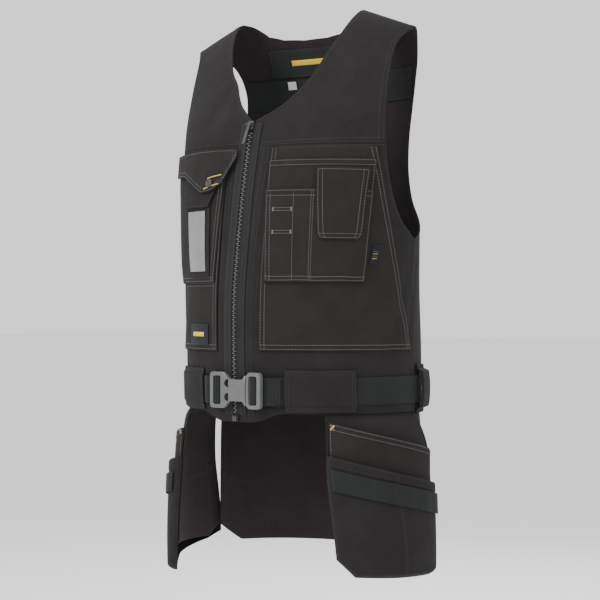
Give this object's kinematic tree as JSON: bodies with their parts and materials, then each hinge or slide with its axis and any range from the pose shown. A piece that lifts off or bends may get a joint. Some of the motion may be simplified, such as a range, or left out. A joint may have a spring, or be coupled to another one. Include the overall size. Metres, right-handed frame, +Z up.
{
  "type": "utility work vest",
  "caption": "Canvas work vest with a zipped V-neck front, chest pockets, a buckled webbing belt, hip holster pockets and a hanging rear panel.",
  "frame": {"origin": "midway between the two shoulder high points, at their height, where the vest hangs", "axes": "+Z up, the front faces -Y, and the wearer's left is +X"},
  "size_m": [0.4412, 0.3223, 0.7917],
  "materials": {
    "canvas": "charcoal canvas, plain weave",
    "overlay": "heavier canvas, slightly browner",
    "lining": "dark inner cloth",
    "webbing": "green-grey ribbed webbing and tape",
    "label": "dark woven label, left blank",
    "size_label": "pale woven label, left blank",
    "window": "clear flexible film",
    "buckle": "mid-grey moulded plastic",
    "metal": "darkened metal"
  },
  "bodies": {
    "vest": {"front_panel_left": "canvas", "front_yoke_left": "canvas", "belt_tunnel_left": "canvas", "side_loop_left": "canvas", "holster_pouch_left": "canvas", "front_panel_right": "canvas", "front_yoke_right": "canvas", "belt_tunnel_right": "canvas", "side_loop_right": "canvas", "holster_pouch_right": "canvas", "back_yoke": "canvas", "back_panel": "canvas", "tool_pocket_left": "canvas", "pen_pocket_left": "canvas", "phone_flap_left": "canvas", "chest_pocket_right": "canvas", "badge_cover_right": "canvas", "flap_right": "canvas", "rear_pocket": "canvas", "patch_pocket_left": "overlay", "holster_pocket_left": "overlay", "patch_pocket_right": "overlay", "holster_pocket_right": "overlay", "badge_holder_right": "overlay", "holster_back_left": "lining", "holster_back_right": "lining", "neck_patch": "lining", "rear_panel": "lining", "zip_tape_left": "webbing", "belt_webbing_left": "webbing", "holster_strip_left": "webbing", "zip_tape_right": "webbing", "belt_webbing_right": "webbing", "holster_strip_right": "webbing", "back_band": "webbing", "belt_tail_left": "webbing", "webbing_tab_right": "webbing", "pocket_tag_left": "label", "label_right": "label", "size_label": "size_label", "badge_window_right": "window", "buckle_female": "buckle", "buckle_male": "buckle", "zip_chain": "metal", "zip_box": "metal", "zip_slider": "metal", "flap_snap_right": "metal"},
    "zip_pull": {"zip_pull": "metal"}
  },
  "joints": [
    {"name": "zip_pull_hinge", "type": "hinge", "parent": "vest", "child": "zip_pull", "pos_m": [0, -0.12412, -0.16248], "axis": [-1, 0, 0], "range_deg": [0, 150]}
  ]
}
